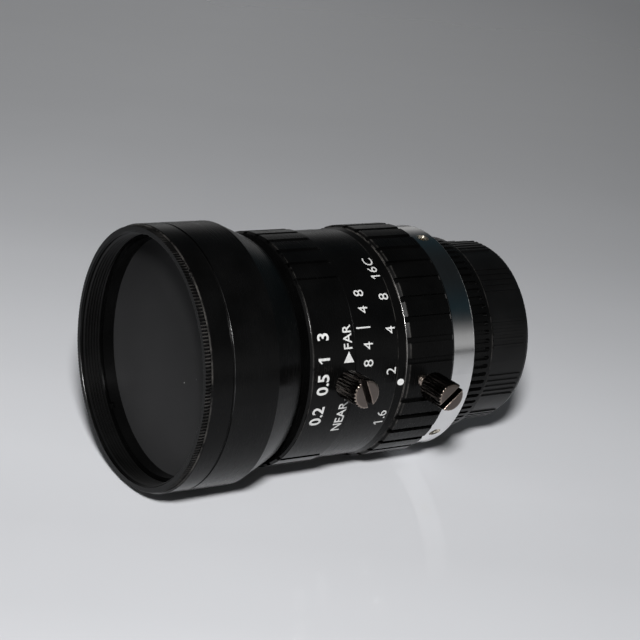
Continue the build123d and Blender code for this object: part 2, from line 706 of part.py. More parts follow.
def rear_cap():
    """Plastic screw cap over the camera thread, with groups of fine grip ribs."""
    front = FLANGE + FACE_GAP
    body = turned(
        (THREAD_R + RUNNING, front),
        (CAP_R - CAP_FRONT_BEVEL, front),
        (CAP_R, front + CAP_FRONT_BEVEL),
        (CAP_R, CAP_REAR - CAP_ROUND),
        (CAP_R - CAP_ROUND_MIDDLE, CAP_REAR - CAP_ROUND_MIDDLE),
        (CAP_R - CAP_ROUND, CAP_REAR),
        (0, CAP_REAR),
        (0, CAP_REAR - CAP_WALL),
        (CAP_RECESS_R, CAP_REAR - CAP_WALL),
        (CAP_RECESS_R, CAP_THREAD_DEPTH),
        (THREAD_R + RUNNING, CAP_THREAD_DEPTH),
    )
    rib_front = front + CAP_RIB_FRONT_GAP
    rib_rear = CAP_REAR - CAP_RIB_REAR_GAP
    low = CAP_R - CAP_RIB_ROOT
    rib = Pos(0, (rib_front + rib_rear) / 2, (low + CAP_R + CAP_RIB_HEIGHT) / 2) * Box(
        CAP_RIB_WIDTH, rib_rear - rib_front, CAP_R + CAP_RIB_HEIGHT - low
    )
    angles = [
        360 / CAP_GROUPS * g + CAP_RIB_STEP * (i - (CAP_RIBS - 1) / 2)
        for g in range(CAP_GROUPS)
        for i in range(CAP_RIBS)
    ]
    return body + [around(rib, a) for a in angles]


os.makedirs("parts", exist_ok=True)

PARTS = {
    "filter_frame": filter_frame(),
    "filter_glass": filter_glass(),
    "filter_retaining_ring": filter_retaining_ring(),
    "front_housing": front_housing(),
    "front_lens_tube": front_lens_tube(),
    "front_retaining_ring": front_retaining_ring(),
    "first_element": element(FIRST),
    "middle_spacer": middle_spacer(),
    "second_element": element(SECOND),
    "front_spacer": front_spacer(),
    "third_element": element(THIRD),
    "main_barrel": main_barrel(),
    "guide_key": guide_key(),
    "focus_ring": focus_ring(),
    "focus_stop_screw": focus_stop_screw(),
    "focus_lock_screw": lock_screw(
        JOURNAL_R + RUNNING, FOCUS_LOCK_TOP, FOCUS_LOCK_Y, FOCUS_LOCK_ANGLE, FOCUS_LOCK_TURN
    ),
    "iris_ring": iris_ring(),
    "iris_drive_pin": iris_drive_pin(),
    "iris_lock_screw": lock_screw(
        IRIS_JOURNAL_R + RUNNING, IRIS_LOCK_TOP, IRIS_LOCK_Y, IRIS_LOCK_ANGLE, IRIS_LOCK_TURN
    ),
    "iris_cam_ring": iris_cam_ring(),
    "diaphragm_base_plate": diaphragm_base_plate(),
    "diaphragm_retaining_ring": diaphragm_retaining_ring(),
    "silver_ring": silver_ring(),
    "set_screws": set_screws(),
    "mount_barrel": mount_barrel(),
    "rear_lens_tube": rear_lens_tube(),
    "fourth_element": element(FOURTH),
    "fifth_element": element(FIFTH),
    "rear_spacer": rear_spacer(),
    "sixth_element": element(SIXTH),
    "rear_retaining_ring": rear_retaining_ring(),
    "rear_cap": rear_cap(),
}
for number in range(BLADES):
    PARTS[f"iris_blade_{number + 1}"] = iris_blade(number)

for node, shape in PARTS.items():
    export_step(shape, f"parts/{node}.step")
    print(node, "volume", round(shape.volume, 2))
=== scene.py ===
import json
import math

import bmesh
import bpy
from mathutils import Matrix, Vector


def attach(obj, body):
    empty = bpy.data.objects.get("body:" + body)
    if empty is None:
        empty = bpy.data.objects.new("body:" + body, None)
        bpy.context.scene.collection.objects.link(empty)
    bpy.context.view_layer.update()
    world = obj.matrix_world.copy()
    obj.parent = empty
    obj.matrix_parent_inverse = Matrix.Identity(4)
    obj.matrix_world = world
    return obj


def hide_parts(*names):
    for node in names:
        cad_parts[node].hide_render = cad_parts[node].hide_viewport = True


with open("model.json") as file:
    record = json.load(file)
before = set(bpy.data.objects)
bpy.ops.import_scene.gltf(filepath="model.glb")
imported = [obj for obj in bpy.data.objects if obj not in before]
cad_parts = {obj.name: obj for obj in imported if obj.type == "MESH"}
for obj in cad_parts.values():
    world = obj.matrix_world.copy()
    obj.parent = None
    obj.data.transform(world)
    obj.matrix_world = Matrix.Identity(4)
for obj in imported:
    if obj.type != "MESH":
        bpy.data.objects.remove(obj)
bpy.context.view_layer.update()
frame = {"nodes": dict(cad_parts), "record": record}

MM = 0.001
NODES = frame["nodes"]

# Stations along the axis in millimetres, as in the part's source
RIM = -56.4
RIM_KNURL_REAR = RIM + 0.9
SEAM = -51.9
FOCUS_FRONT = -37.2
IRIS_FRONT = -20.8
IRIS_BAND_FRONT = IRIS_FRONT + 0.05
IRIS_RIBS_FRONT = -18.8
IRIS_BAND_REAR = IRIS_RIBS_FRONT - 0.5
SILVER_FRONT = -10.2
SILVER_REAR = -5.65

# Outer radii in millimetres, as in the part's source
HOOD_R = 20.6
RIM_R = HOOD_R - 0.3
FILTER_THREAD_R = RIM_R - 1.0
FOCUS_R = 18.65
BARREL_R = 18.3
IRIS_R = 18.85
IRIS_BAND_FRONT_R = 18.15
IRIS_BAND_REAR_R = 18.45
SILVER_R = 18.25
KNURL_R = 16.1
THREAD_R = 12.7

# Camera, fitted to the photograph
CAMERA_PLACE = (0.2225, -0.1849, 0.0953)
CAMERA_RIGHT = (0.5459, 0.8276, 0.1310)
CAMERA_UP = (-0.3342, 0.0716, 0.9398)
CAMERA_BACK = (0.7683, -0.5568, 0.3157)
CAMERA_LENS = 101.25
CAMERA_SENSOR = 36.0

# The floor touches the hood's rear edge and the rear end of the iris ring's lands
FLOOR_POINT = (0.0, -44.1 * MM, -HOOD_R * MM)
FLOOR_TILT = math.radians(2.99)


def make_camera():
    data = bpy.data.cameras.new("camera")
    data.sensor_width = CAMERA_SENSOR
    data.lens = CAMERA_LENS
    data.clip_start = 0.01
    data.clip_end = 20.0
    camera = bpy.data.objects.new("camera", data)
    axes = Matrix((CAMERA_RIGHT, CAMERA_UP, CAMERA_BACK)).transposed()
    camera.matrix_world = Matrix.Translation(CAMERA_PLACE) @ axes.to_4x4()
    bpy.context.scene.collection.objects.link(camera)
    bpy.context.scene.camera = camera


make_camera()
bpy.context.scene.view_settings.view_transform = "Standard"


# Node helpers

class Graph:
    """The nodes of a material or a world, with short ways to add the common ones."""

    def __init__(self, owner, output):
        self.owner = owner
        owner.use_nodes = True
        self.tree = owner.node_tree
        self.tree.nodes.clear()
        self.output = self.add(output)

    def add(self, kind, **settings):
        node = self.tree.nodes.new(kind)
        for key, value in settings.items():
            setattr(node, key, value)
        return node

    def link(self, source, target):
        self.tree.links.new(source, target)

    def feed(self, socket, value):
        if isinstance(value, bpy.types.NodeSocket):
            self.link(value, socket)
        else:
            socket.default_value = value

    def math(self, operation, first, second=0.0, third=0.0, clamp=False):
        node = self.add("ShaderNodeMath", operation=operation, use_clamp=clamp)
        for socket, value in zip(node.inputs, (first, second, third)):
            self.feed(socket, value)
        return node.outputs[0]

    def length(self, first, second):
        squares = [self.math("MULTIPLY", side, side) for side in (first, second)]
        return self.math("SQRT", self.math("ADD", *squares))

    def within(self, value, low, high):
        """One between two places in millimetres, and nothing outside them."""
        above = self.math("GREATER_THAN", value, low * MM)
        return self.math("MULTIPLY", above, self.math("LESS_THAN", value, high * MM))

    def place(self, output="Object"):
        """A texture coordinate as a point, and its x, y and z."""
        point = self.add("ShaderNodeTexCoord").outputs[output]
        split = self.add("ShaderNodeSeparateXYZ")
        self.link(point, split.inputs[0])
        return point, *split.outputs

    def noise(self, vector, scale, detail=3.0, roughness=0.5):
        node = self.add("ShaderNodeTexNoise")
        self.feed(node.inputs["Vector"], vector)
        node.inputs["Scale"].default_value = scale
        node.inputs["Detail"].default_value = detail
        node.inputs["Roughness"].default_value = roughness
        return node.outputs["Fac"]

    def specks(self, vector, scale, edge, share):
        """A mask of small round specks, soft out to the edge, in a share of a grid's cells."""
        cells = self.add("ShaderNodeTexVoronoi")
        self.link(vector, cells.inputs["Vector"])
        cells.inputs["Scale"].default_value = scale
        pick = self.add("ShaderNodeSeparateColor")
        self.link(cells.outputs["Color"], pick.inputs[0])
        chosen = self.math("GREATER_THAN", pick.outputs[0], 1.0 - share)
        return self.math("MULTIPLY", self.range(cells.outputs["Distance"], SPECK_R, edge, 1.0, 0.0), chosen)

    def range(self, value, low, high, to_low=0.0, to_high=1.0, smooth=False):
        node = self.add("ShaderNodeMapRange", interpolation_type="SMOOTHSTEP" if smooth else "LINEAR")
        for socket, number in zip(node.inputs[:5], (value, low, high, to_low, to_high)):
            self.feed(socket, number)
        return node.outputs[0]

    def combine(self, x, y, z):
        node = self.add("ShaderNodeCombineXYZ")
        for socket, value in zip(node.inputs, (x, y, z)):
            self.feed(socket, value)
        return node.outputs[0]

    def mix(self, factor, first, second):
        node = self.add("ShaderNodeMix", data_type="RGBA")
        self.feed(node.inputs["Factor"], factor)
        self.feed(node.inputs["A"], first)
        self.feed(node.inputs["B"], second)
        return node.outputs["Result"]

    def scale(self, colour, factor):
        node = self.add("ShaderNodeVectorMath", operation="SCALE")
        self.link(colour, node.inputs[0])
        self.link(factor, node.inputs["Scale"])
        return node.outputs[0]

    def ramp(self, value, stops):
        """A colour ramp through stops, each (position, colour)."""
        node = self.add("ShaderNodeValToRGB")
        self.link(value, node.inputs[0])
        elements = node.color_ramp.elements
        while len(elements) < len(stops):
            elements.new(0.5)
        for element, (position, colour) in zip(elements, stops):
            element.position = position
            element.color = colour
        return node.outputs[0]

    def bump(self, height, strength, distance, normal=None):
        node = self.add("ShaderNodeBump")
        node.inputs["Strength"].default_value = strength
        node.inputs["Distance"].default_value = distance
        self.feed(node.inputs["Height"], height)
        if normal is not None:
            self.feed(node.inputs["Normal"], normal)
        return node.outputs[0]

    def shader(self, colour, roughness, **sockets):
        """A Principled shader on the output. Sockets are given with their names in lower case."""
        node = self.add("ShaderNodeBsdfPrincipled")
        self.feed(node.inputs["Base Color"], colour)
        self.feed(node.inputs["Roughness"], roughness)
        names = {s.name.lower().replace(" ", "_"): s for s in node.inputs}
        for key, value in sockets.items():
            self.feed(names[key], value)
        self.link(node.outputs[0], self.output.inputs["Surface"])
        return self.owner


def material_graph(name):
    return Graph(bpy.data.materials.new(name), "ShaderNodeOutputMaterial")


def shade(grey, warmth=0.0):
    """A linear colour from a grey, a little warmer or cooler."""
    return (grey * (1 + warmth), grey, grey * (1 - warmth), 1.0)


# Materials. Texture scales are in cells a metre, and widths on the surface in millimetres
RING_SCALE = 9000.0
RING_DRIFT = 0.0006      # how far the tool rings wander along a turn
CLOUD_SCALE = 160.0
GRAIN_SCALE = 14000.0
GRAIN_HEIGHT = 0.01
RING_HEIGHT = 0.004
WANDER_SCALE = 320.0
WEAR_FULL = 0.04         # how far from an edge it is wholly rubbed
WEAR_END = 0.20
CREST_DEPTH = 0.07
CREST_PATCHES = 420.0
DUST_SCALE = 700.0
SPECK_R = 0.05           # of a cell
DULLER = 0.15            # added to the roughness of dull bands
PAINTED_SHADE_ROUGHER = 0.4             # added to the roughness of the bands of painted shade


def edge_wear(g, radius, y, angle, edges):
    """How far the finish is rubbed off around the given edges, unevenly along each."""
    mask = 0.0
    for edge_radius, edge_y, strength in edges:
        far = g.length(g.math("SUBTRACT", radius, edge_radius * MM), g.math("SUBTRACT", y, edge_y * MM))
        near = g.range(far, WEAR_FULL * MM, WEAR_END * MM, strength, 0.0, smooth=True)
        mask = g.math("MAXIMUM", mask, near)
    wander = g.noise(g.combine(g.math("MULTIPLY", angle, 0.02), y, radius), WANDER_SCALE, 4.0, 0.7)
    return g.math("MULTIPLY", mask, g.range(wander, 0.42, 0.70), clamp=True)


def crest_wear(g, where, radius, y, crest, low, high, strength):
    """How far the finish is rubbed off the tops of a knurl, in patches."""
    top = g.range(radius, (crest - CREST_DEPTH) * MM, crest * MM, 0.0, strength)
    patches = g.range(g.noise(where, CREST_PATCHES, 3.0), 0.43, 0.63, 0.12, 1.0)
    return g.math("MULTIPLY", g.math("MULTIPLY", g.within(y, low, high), top), patches)


def turned_metal(name, dark, light, roughness, metallic, grain, edges=(), worn=None, dust=0.0,
                 specular=0.5, dull=(), painted_shade_bands=(), crests=(), painted_highlight_arc=None):
    """Turned and blasted or anodised metal, with fine tool rings, a grain, worn edges and specks of dust.

    Edges are (radius, y, strength) in millimetres where the finish is rubbed, and worn is the bare colour
    there. Crests are (radius, y, y, strength) where the tops of a knurl are rubbed. Dull is (y, y) pairs
    between which the surface is left rough. Bands of painted shade are such pairs painted near black and
    left rougher still. A painted highlight is the span of angles (angle, angle) in degrees to which the
    colour is kept, black elsewhere.
    """
    g = material_graph(name)
    where, x, y, z = g.place()
    radius = g.length(x, z)
    angle = g.math("ARCTAN2", x, z)
    rings = g.noise(g.combine(y, radius, g.math("MULTIPLY", angle, RING_DRIFT)), RING_SCALE, 2.0)
    cloud = g.noise(where, CLOUD_SCALE, 4.0)
    colour = g.mix(g.range(cloud, 0.35, 0.68), dark, light)
    uneven = g.math("ADD", g.math("MULTIPLY", rings, 0.6), g.math("MULTIPLY", cloud, 0.6))
    rough = g.range(uneven, 0.4, 0.8, roughness - 0.06, roughness + 0.07)
    for low, high in dull:
        rough = g.math("ADD", rough, g.math("MULTIPLY", g.within(y, low, high), DULLER))
    # Painted shade: these bands are painted near black and made rougher.
    for low, high in painted_shade_bands:
        inside = g.within(y, low, high)
        colour = g.mix(inside, colour, shade(0.02))
        rough = g.math("ADD", rough, g.math("MULTIPLY", inside, PAINTED_SHADE_ROUGHER))
    # Painted highlight: the colour is kept on a span of the turn only and is black elsewhere.
    if painted_highlight_arc:
        middle = math.radians((painted_highlight_arc[0] + painted_highlight_arc[1]) / 2)
        half = math.radians((painted_highlight_arc[1] - painted_highlight_arc[0]) / 2)
        off = g.math("ABSOLUTE", g.math("SUBTRACT", angle, middle))
        colour = g.mix(g.range(off, half * 0.6, half, smooth=True), colour, shade(0.004))
    if edges:
        colour = g.mix(edge_wear(g, radius, y, angle, edges), colour, worn)
    for crest in crests:
        colour = g.mix(crest_wear(g, where, radius, y, *crest), colour, worn)
    if dust:
        colour = g.mix(g.specks(where, DUST_SCALE, 0.09, dust), colour, shade(0.35, 0.05))
    normal = g.bump(g.noise(where, GRAIN_SCALE, 2.0), grain, GRAIN_HEIGHT * MM)
    normal = g.bump(rings, grain * 0.8, RING_HEIGHT * MM, normal)
    return g.shader(colour, rough, metallic=metallic, normal=normal, specular_ior_level=specular)


def optical_glass():
    """Clear coated glass with faint smears."""
    g = material_graph("optical_glass")
    smear = g.noise(g.place()[0], 90.0, 4.0)
    tint = (0.93, 0.96, 0.97, 1.0)
    smeared = tuple(channel * 0.94 for channel in tint[:3]) + (1.0,)
    colour = g.mix(g.range(smear, 0.4, 0.7), tint, smeared)
    rough = g.range(smear, 0.35, 0.75, 0.0, 0.05)
    return g.shader(colour, rough, ior=1.52, transmission_weight=1.0, coat_weight=0.4, coat_roughness=0.03)


def filter_tint():
    """Dark filter glass with faint smears and a few white specks, painted paler towards the lower left as
    painted light.
    """
    g = material_graph("filter_tint")
    where, x, _, z = g.place()
    smear = g.noise(where, 70.0, 5.0, 0.6)
    glass_tone = g.mix(g.range(smear, 0.35, 0.7), (0.018, 0.018, 0.0185, 1.0), (0.021, 0.021, 0.0215, 1.0))
    painted_light_slope = g.math("ADD", g.math("MULTIPLY", x, -0.5), g.math("MULTIPLY", z, -0.87))
    # Painted light: the glass is made paler towards the lower left.
    glass_tone = g.scale(glass_tone, g.range(painted_light_slope, -0.0055, 0.015, 0.75, 1.68))
    colour = g.mix(g.specks(where, 600.0, 0.08, 0.015), glass_tone, shade(0.3))
    rough = g.range(smear, 0.3, 0.8, 0.36, 0.44)
    return g.shader(colour, rough, ior=1.5, specular_ior_level=0.04)


BARE_ALUMINIUM = (0.16, 0.15, 0.14, 1.0)
BLACK = {"dark": shade(0.0016), "light": shade(0.0026), "metallic": 0.0, "grain": 0.14,
         "worn": BARE_ALUMINIUM, "dust": 0.006}

ANODISED = turned_metal(
    "anodised_black", roughness=0.25, specular=0.14, **BLACK,
    edges=((HOOD_R, SEAM + 0.05, 0.3), (FOCUS_R, FOCUS_FRONT + 0.35, 0.4), (BARREL_R, IRIS_FRONT, 0.25),
           (KNURL_R, -0.3, 0.3)),
)
ANODISED_IRIS = turned_metal(
    "anodised_iris", roughness=0.28, specular=0.09, **BLACK,
    edges=((IRIS_BAND_REAR_R, IRIS_BAND_REAR, 0.7), (IRIS_R, IRIS_RIBS_FRONT, 0.35)),
    dull=((IRIS_BAND_REAR + 0.02, IRIS_RIBS_FRONT + 0.08),),
)
ANODISED_FILTER = turned_metal(
    "anodised_filter", roughness=0.22, specular=0.11, **BLACK,
    edges=((HOOD_R - 0.15, RIM_KNURL_REAR + 0.05, 0.35),),
    crests=((RIM_R, RIM - 0.05, RIM_KNURL_REAR, 0.26),),
)
ANODISED_INSIDE = turned_metal(
    "anodised_inside", shade(0.0016), shade(0.003), roughness=0.40, metallic=0.0, grain=0.3, specular=0.22,
)
PLASTIC = turned_metal(
    "moulded_plastic", shade(0.0030), shade(0.0048), roughness=0.34, metallic=0.0, grain=0.12,
    dust=0.006, specular=0.20,
)
# The silver ring's front band, beside the iris ring, is painted near black: painted shade, made rougher too.
SILVER = turned_metal(
    "satin_aluminium", shade(0.71), shade(0.79), roughness=0.11, metallic=1.0, grain=0.06,
    worn=shade(0.95), dust=0.004,
    edges=((SILVER_R, SILVER_REAR - 0.2, 1.0),), painted_shade_bands=((SILVER_FRONT, SILVER_FRONT + 0.35),),
)
NICKEL = turned_metal(
    "worn_nickel", (0.13, 0.110, 0.098, 1.0), (0.19, 0.162, 0.146, 1.0),
    roughness=0.15, metallic=1.0, grain=0.10,
)
GLINT = turned_metal(
    "rubbed_nickel", (0.22, 0.18, 0.155, 1.0), (0.36, 0.30, 0.26, 1.0),
    roughness=0.25, metallic=1.0, grain=0.10,
)
BLACK_NICKEL = turned_metal(
    "black_nickel", (0.040, 0.034, 0.031, 1.0), (0.075, 0.065, 0.058, 1.0),
    roughness=0.17, metallic=1.0, grain=0.10,
)
STEEL = turned_metal(
    "steel", (0.66, 0.57, 0.43, 1.0), (0.84, 0.76, 0.63, 1.0),
    roughness=0.20, metallic=1.0, grain=0.15,
)
BLUED = turned_metal(
    "blackened_steel", shade(0.03), shade(0.05), roughness=0.42, metallic=1.0, grain=0.2,
)
# Bright bare metal on rounded edges, kept on a span of the turn only as a painted highlight, black elsewhere.
EDGE = turned_metal(
    "worn_edge", shade(0.22, 0.02), shade(0.55, 0.02), roughness=0.27, metallic=1.0, grain=0.2,
    painted_highlight_arc=(26.0, 94.0),
)
# Dark metal edges, kept on a span of the turn only as a painted highlight, black elsewhere.
DARK_EDGE = turned_metal(
    "dark_edge", shade(0.03), shade(0.12), roughness=0.26, metallic=1.0, grain=0.2, painted_highlight_arc=(24.0, 98.0),
)
# The rim's edges, kept on a span of the turn only as a painted highlight, black elsewhere.
RIM_EDGE = turned_metal(
    "rim_edge", shade(0.03), shade(0.12), roughness=0.24, metallic=1.0, grain=0.2, painted_highlight_arc=(-160.0, -85.0),
)
BRIGHT_EDGE = turned_metal(
    "bright_edge", shade(0.80), shade(0.95), roughness=0.30, metallic=1.0, grain=0.1,
)

BY_SLOT = {
    "black_anodised": ANODISED,
    "bright_satin": SILVER,
    "dark_nickel": NICKEL,
    "steel": STEEL,
    "blackened_steel": BLUED,
    "filter_tint": filter_tint(),
    "optical_glass": optical_glass(),
    "black_plastic": PLASTIC,
}
BY_NODE = {
    "iris_ring": ANODISED_IRIS,
    "filter_frame": ANODISED_FILTER,
    "filter_retaining_ring": ANODISED_FILTER,
}
for inner in ("front_lens_tube", "front_retaining_ring", "middle_spacer", "front_spacer", "iris_cam_ring",
              "diaphragm_retaining_ring", "rear_lens_tube", "rear_spacer", "rear_retaining_ring"):
    BY_NODE[inner] = ANODISED_INSIDE


def dress_nodes():
    """Gives each CAD node its material, by its name or else by its slot in the record."""
    for part in frame["record"]["subparts"]:
        materials = NODES[part["node"]].data.materials
        chosen = BY_NODE.get(part["node"], BY_SLOT[part["material_slot"]])
        if not materials:
            materials.append(chosen)
        for index in range(len(materials)):
            materials[index] = chosen


dress_nodes()


# Detail pieces

def loft(name, rows, material, body=None, loop=False, caps=False, smooth_angle=35.0):
    """A mesh through closed rings of points. A loop joins the last ring to the first, caps close the ends."""
    form = bmesh.new()
    rings = [[form.verts.new(point) for point in row] for row in rows]
    count = len(rows[0])
    last = len(rows) if loop else len(rows) - 1
    for i in range(last):
        here, there = rings[i], rings[(i + 1) % len(rows)]
        for j in range(count):
            k = (j + 1) % count
            form.faces.new((here[j], here[k], there[k], there[j]))
    if caps:
        form.faces.new(rings[0][::-1])
        form.faces.new(rings[-1])
    bmesh.ops.recalc_face_normals(form, faces=form.faces)
    mesh = bpy.data.meshes.new(name)
    form.to_mesh(mesh)
    form.free()
    for face in mesh.polygons:
        face.use_smooth = True
    mesh.set_sharp_from_angle(angle=math.radians(smooth_angle))
    mesh.materials.append(material)
    piece = bpy.data.objects.new(name, mesh)
    bpy.context.scene.collection.objects.link(piece)
    if body:
        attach(piece, body)
    return piece


def around_axis(radius, station, turn):
    return (radius * MM * math.sin(turn), station * MM, radius * MM * math.cos(turn))


BEAD_SIDES = 8
BEAD_STEPS = 240

# Each bead: name, radius and station of its middle, its own radius, its material and its body
BEADS = (
    ("iris_band_edge", IRIS_BAND_REAR_R - 0.04, IRIS_BAND_REAR + 0.05, 0.075, EDGE, "iris"),
    ("iris_front_edge", IRIS_BAND_FRONT_R - 0.05, IRIS_BAND_FRONT + 0.05, 0.055, DARK_EDGE, "iris"),
    ("barrel_rear_edge", BARREL_R - 0.06, IRIS_FRONT - 0.06, 0.055, DARK_EDGE, "barrel"),
    ("focus_front_edge", FOCUS_R - 0.07, FOCUS_FRONT + 0.34, 0.075, DARK_EDGE, "focus"),
    ("filter_rear_edge", HOOD_R - 0.16, SEAM - 0.10, 0.09, EDGE, "front_group"),
    ("hood_front_edge", HOOD_R - 0.10, SEAM + 0.28, 0.09, DARK_EDGE, "front_group"),
    ("silver_rear_edge", SILVER_R - 0.06, SILVER_REAR - 0.18, 0.07, BRIGHT_EDGE, "barrel"),
    ("rim_inner_edge", FILTER_THREAD_R + 0.22, RIM + 0.10, 0.09, RIM_EDGE, "front_group"),
    ("rim_outer_edge", RIM_R - 0.22, RIM + 0.07, 0.07, RIM_EDGE, "front_group"),
)


def bead(name, radius, station, size, material, body):
    """The rounded, rubbed edge of a turned piece: a fine ring let into its corner. Most are bright on one
    span only: a painted highlight.
    """
    turns = [2 * math.pi * j / BEAD_STEPS for j in range(BEAD_STEPS)]
    rows = []
    for i in range(BEAD_SIDES):
        a = 2 * math.pi * i / BEAD_SIDES
        rows.append([
            around_axis(radius + size * math.cos(a), station + size * math.sin(a), turn) for turn in turns
        ])
    loft(name, rows, material, body, loop=True, smooth_angle=80.0)


for edge in BEADS:
    bead(*edge)


FILTER_PITCH = 0.5
FILTER_CREST_R = FILTER_THREAD_R - 0.24
FILTER_ROOT_R = FILTER_THREAD_R + 0.06
FILTER_THREAD_FRONT = RIM + 0.4
FILTER_THREAD_REAR = -53.05
FILTER_FOOT = 0.24       # half the tooth's width at its root and at its crest
FILTER_LAND = 0.04
FILTER_STEPS = 120       # for each turn
FILTER_RUN_IN = 20       # steps over which the thread starts and ends


def filter_thread():
    """The fine internal thread in front of the filter glass."""
    length = FILTER_THREAD_REAR - FILTER_THREAD_FRONT
    turns = length / FILTER_PITCH
    steps = round(turns * FILTER_STEPS)
    rows = []
    for i in range(steps + 1):
        turn = 2 * math.pi * turns * i / steps
        station = FILTER_THREAD_FRONT + length * i / steps
        ease = min(1.0, i / FILTER_RUN_IN, (steps - i) / FILTER_RUN_IN)
        top = FILTER_ROOT_R - (FILTER_ROOT_R - FILTER_CREST_R) * ease
        rows.append([
            around_axis(FILTER_ROOT_R, station - FILTER_FOOT, turn),
            around_axis(top, station - FILTER_LAND, turn),
            around_axis(top, station + FILTER_LAND, turn),
            around_axis(FILTER_ROOT_R, station + FILTER_FOOT, turn),
        ])
    loft("filter_thread", rows, ANODISED_INSIDE, "front_group", caps=True)


filter_thread()


CAMERA_PITCH = 25.4 / 32
CAMERA_DEPTH = 0.43
CAMERA_THREAD_REAR = 3.5
CAMERA_RUN_IN = 0.4
CAMERA_RUN_OUT = 0.5
CAMERA_FLAT = 0.1        # share of the pitch that is flat, at the crest and at the root
CAMERA_ROWS = 84
CAMERA_STEPS = 216       # for each turn


def camera_thread():
    """The mount barrel with its one inch thread of 32 turns to the inch, in place of the plain face."""
    source = NODES["mount_barrel"]
    mesh = source.data.copy()
    mesh.transform(source.matrix_world)
    form = bmesh.new()
    form.from_mesh(mesh)
    plain = [
        face for face in form.faces
        if all(abs(math.hypot(v.co.x, v.co.z) - THREAD_R * MM) < 0.01 * MM for v in face.verts)
    ]
    bmesh.ops.delete(form, geom=plain, context="FACES")
    rings = []
    for i in range(CAMERA_ROWS + 1):
        station = CAMERA_THREAD_REAR * i / CAMERA_ROWS
        ease = min(1.0, station / CAMERA_RUN_IN, (CAMERA_THREAD_REAR - station) / CAMERA_RUN_OUT)
        ring = []
        for j in range(CAMERA_STEPS):
            turn = 2 * math.pi * j / CAMERA_STEPS
            phase = (station / CAMERA_PITCH - j / CAMERA_STEPS) % 1.0
            cut = min(1.0, max(0.0, (abs(2 * phase - 1) - CAMERA_FLAT) / (1 - 2 * CAMERA_FLAT)))
            ring.append(form.verts.new(around_axis(THREAD_R - CAMERA_DEPTH * ease * cut, station, turn)))
        rings.append(ring)
    for here, there in zip(rings, rings[1:]):
        for j in range(CAMERA_STEPS):
            k = (j + 1) % CAMERA_STEPS
            face = form.faces.new((here[j], there[j], there[k], here[k]))
            face.smooth = True
    form.to_mesh(mesh)
    form.free()
    piece = bpy.data.objects.new("mount_barrel_threaded", mesh)
    bpy.context.scene.collection.objects.link(piece)
    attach(piece, "barrel")
    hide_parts("mount_barrel")


camera_thread()


# Lock screws, in millimetres and degrees
SCREW_R = 2.3
SCREW_HEAD = 5.3
SCREW_STEM_R = 0.98
SCREW_PITCH = 0.4
SCREW_THREAD = 0.16      # depth of the stem's thread
THREAD_STEP = 0.1        # height between the rows that draw it
FLUTES = 24
FLUTE_DEPTH = 0.2
FLUTE_SAMPLES = 8
SLOT_HALF = 0.48
SLOT_DEPTH = 0.95
SLOT_ROUND = 0.15        # radius of the slot's rubbed edges
TOP_FLAT = 0.5           # how far the flat top stays inside the head's radius
WORN_TOP = 0.5           # how far down from the top the worn face and its edges reach
RUBBED_STEM = 0.15       # how far below the head the rubbed stem begins

# The head's rounded ends: height above its foot or below its top, and how far it is cut back there
HEAD_FOOT = ((0.0, 0.35), (0.12, 0.12), (0.35, 0.0))
HEAD_TOP = ((0.45, 0.0), (0.22, 0.05), (0.08, 0.16), (0.01, 0.32))

# Each screw: node, body, heights of its tip and top, station, angle around the axis and turn of its slot
LOCK_SCREWS = (
    ("focus_lock_screw", "focus_lock", 17.0, 25.1, -31.3, 86.3, 24.0),
    ("iris_lock_screw", "iris_lock", 16.65, 26.25, -16.0, 90.0, 131.6),
)


def screw_rows(tip, top):
    """The screw's rings of points along +Z: a threaded stem, then a fluted head with rounded ends."""
    head = top - SCREW_HEAD
    samples = FLUTES * FLUTE_SAMPLES
    turns = [2 * math.pi * j / samples for j in range(samples)]
    rows = []

    def row(height, shape):
        rows.append([(shape(a) * math.sin(a) * MM, shape(a) * math.cos(a) * MM, height * MM) for a in turns])

    def fluted(back):
        limit = SCREW_R - back
        return lambda a: min(limit, SCREW_R - FLUTE_DEPTH * (0.5 - 0.5 * math.cos(FLUTES * a)))

    def threaded(height):
        lift = height / SCREW_PITCH
        return lambda a: SCREW_STEM_R - SCREW_THREAD * abs(2 * ((lift + a / (2 * math.pi)) % 1.0) - 1)

    row(tip, lambda a: SCREW_STEM_R - 0.25)
    height = tip + THREAD_STEP
    while height < head - 0.12:
        row(height, threaded(height))
        height += THREAD_STEP
    row(head - THREAD_STEP, lambda a: SCREW_STEM_R - SCREW_THREAD)
    row(head, lambda a: SCREW_STEM_R - SCREW_THREAD)
    for up, back in HEAD_FOOT:
        row(head + up, fluted(back))
    for down, back in HEAD_TOP:
        row(top - down, fluted(back))
    row(top, lambda a: SCREW_R - TOP_FLAT)
    return rows


def slot_cutter(top):
    """The slot's cutter, which leaves its upper edges round in three steps."""
    half = [(SLOT_HALF, top - SLOT_DEPTH)]
    for step in (0, 30, 60):
        a = math.radians(step)
        half.append((SLOT_HALF + SLOT_ROUND * (1 - math.cos(a)), top - SLOT_ROUND * (1 - math.sin(a))))
    half.append((SLOT_HALF + SLOT_ROUND, top + 0.001))
    half.append((SLOT_HALF + SLOT_ROUND, top + 0.5))
    outline = half + [(-across, up) for across, up in half[::-1]]
    ends = [[(end * MM, across * MM, up * MM) for across, up in outline] for end in (-3, 3)]
    return loft("cutter", ends, NICKEL, caps=True)


def cut_slot(piece, tool):
    """Puts the piece less the tool in the piece's mesh, and removes the tool."""
    cut = piece.modifiers.new("slot", "BOOLEAN")
    cut.object = tool
    cut.operation = "DIFFERENCE"
    cut.solver = "EXACT"
    bpy.context.view_layer.update()
    mesh = bpy.data.meshes.new_from_object(piece.evaluated_get(bpy.context.evaluated_depsgraph_get()))
    piece.modifiers.clear()
    piece.data = mesh
    bpy.data.objects.remove(tool)


